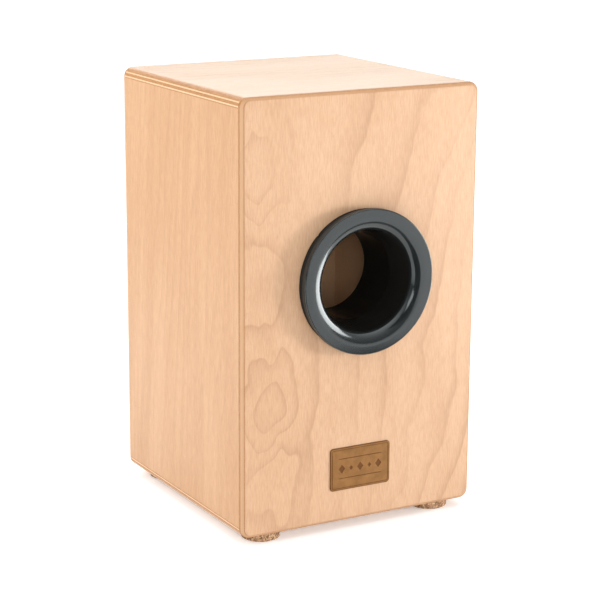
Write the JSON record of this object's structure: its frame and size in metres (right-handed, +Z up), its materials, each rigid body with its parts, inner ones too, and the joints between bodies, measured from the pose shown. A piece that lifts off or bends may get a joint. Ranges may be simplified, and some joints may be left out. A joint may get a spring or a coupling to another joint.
{
  "type": "cajon",
  "caption": "Box drum of light plywood with a flared bass tube plugged into the round sound hole of its back, granulate disc feet and snare wires on a pivoting bar inside.",
  "frame": {"origin": "on the floor, in the middle of the overall footprint, which reaches from the bass tube's rim to the playing surface", "axes": "+Z up, +Y towards the playing surface (the sound hole and bass tube face -Y), X across the width, -X being the player's left"},
  "size_m": [0.3, 0.314, 0.5],
  "materials": {
    "beech_ply_top": "satin clear lacquer over pale beech plywood",
    "beech_ply_side": "satin clear lacquer over straight-grained beech plywood",
    "beech_ply_back": "satin clear lacquer over flat-sawn beech plywood",
    "beech_ply_front": "satin clear lacquer over thin beech plywood",
    "batten_wood": "planed and unlacquered",
    "badge_brown": "brown engraved plate, satin",
    "cork_granulate": "pressed cork and rubber granulate, matte",
    "rim_plastic": "glossy anthracite moulded plastic",
    "pipe_plastic": "glossy black plastic",
    "foam_black": "matte closed-cell foam",
    "screw_steel": "blackened steel",
    "snare_steel": "bright steel"
  },
  "bodies": {
    "box": {"left_side": "beech_ply_side", "right_side": "beech_ply_side", "top_board": "beech_ply_top", "bottom_board": "beech_ply_top", "back_panel": "beech_ply_back", "playing_surface": "beech_ply_front", "front_screws": "screw_steel", "top_left_batten": "batten_wood", "top_right_batten": "batten_wood", "bottom_left_batten": "batten_wood", "bottom_right_batten": "batten_wood", "badge": "badge_brown", "foot_front_left": "cork_granulate", "foot_front_right": "cork_granulate", "foot_rear_left": "cork_granulate", "foot_rear_right": "cork_granulate", "snare_pin_left": "batten_wood", "snare_pin_right": "batten_wood"},
    "bass_tube": {"tube_rim": "rim_plastic", "tube_throat": "pipe_plastic", "tube_pipe": "pipe_plastic", "tube_gasket": "foam_black", "tube_grip_ring": "foam_black"},
    "snare_unit": {"snare_bar": "batten_wood", "snare_strip_left": "snare_steel", "snare_strip_right": "snare_steel", "snare_wires_left": "snare_steel", "snare_wires_right": "snare_steel", "snare_strip_screws": "screw_steel"}
  },
  "joints": [
    {"name": "bass_tube_pull", "type": "slide", "parent": "box", "child": "bass_tube", "axis": [0, -1, 0], "range_m": [0, 0.1]},
    {"name": "snare_tilt", "type": "hinge", "parent": "box", "child": "snare_unit", "pos_m": [0, 0.1426, 0.33], "axis": [1, 0, 0], "range_deg": [0, 25]}
  ]
}
